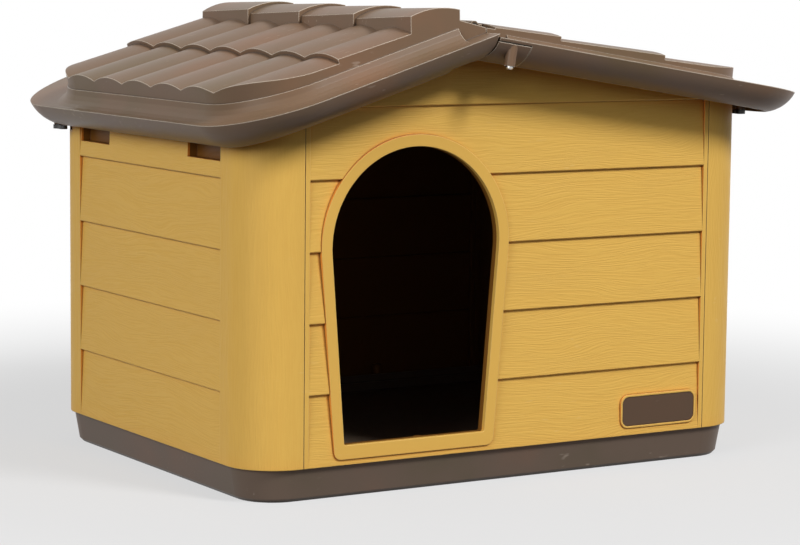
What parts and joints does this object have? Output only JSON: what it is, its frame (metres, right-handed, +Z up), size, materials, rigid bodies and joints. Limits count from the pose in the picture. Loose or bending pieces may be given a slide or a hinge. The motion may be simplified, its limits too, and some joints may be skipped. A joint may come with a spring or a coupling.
{
  "type": "small dog house",
  "caption": "Small moulded dog house with leaning clapboard walls, an arched doorway in a raised surround, a base tray and a gable roof of barrel tiles whose steeper half is a hinged lid.",
  "frame": {"origin": "middle of the base tray's footprint, on the floor", "axes": "+X to the right when facing the doorway, +Y towards the back, +Z up"},
  "size_m": [0.605, 0.49, 0.4136],
  "materials": {
    "wall_ochre": "satin moulded plastic, wood grain embossed",
    "roof_brown": "satin moulded plastic",
    "base_brown": "satin moulded plastic",
    "plate_brown": "satin moulded plastic, bare",
    "screw_steel": "zinc plated",
    "catch_black": "black plastic"
  },
  "bodies": {
    "house": {"back_panel": "wall_ochre", "base_screws_back": "screw_steel", "base_screws_front": "screw_steel", "base_screws_left": "screw_steel", "base_screws_right": "screw_steel", "base_tray": "base_brown", "cover_screw_front": "screw_steel", "cover_screw_rear": "screw_steel", "front_panel": "wall_ochre", "hinge_pin_front": "screw_steel", "hinge_pin_rear": "screw_steel", "joint_cover_front": "roof_brown", "joint_cover_rear": "roof_brown", "latch_screw_right": "screw_steel", "left_wall": "wall_ochre", "name_plate": "plate_brown", "right_wall": "wall_ochre", "roof_fixed": "roof_brown", "roof_screws": "screw_steel"},
    "lid": {"roof_lid": "roof_brown", "latch_screw_left": "screw_steel"},
    "left_catch": {"latch_left": "catch_black"},
    "right_catch": {"latch_right": "catch_black"}
  },
  "joints": [
    {"name": "lid_hinge", "type": "hinge", "parent": "house", "child": "lid", "pos_m": [-0.052, 0, 0.398], "axis": [0, 1, 0], "range_deg": [0, 115]},
    {"name": "left_catch_turn", "type": "hinge", "parent": "lid", "child": "left_catch", "pos_m": [-0.2675, 0.168, 0.296], "axis": [0, 0, 1], "range_deg": [0, 90]},
    {"name": "right_catch_turn", "type": "hinge", "parent": "house", "child": "right_catch", "pos_m": [0.2675, -0.168, 0.3164], "axis": [0, 0, 1], "range_deg": [0, 90]}
  ]
}
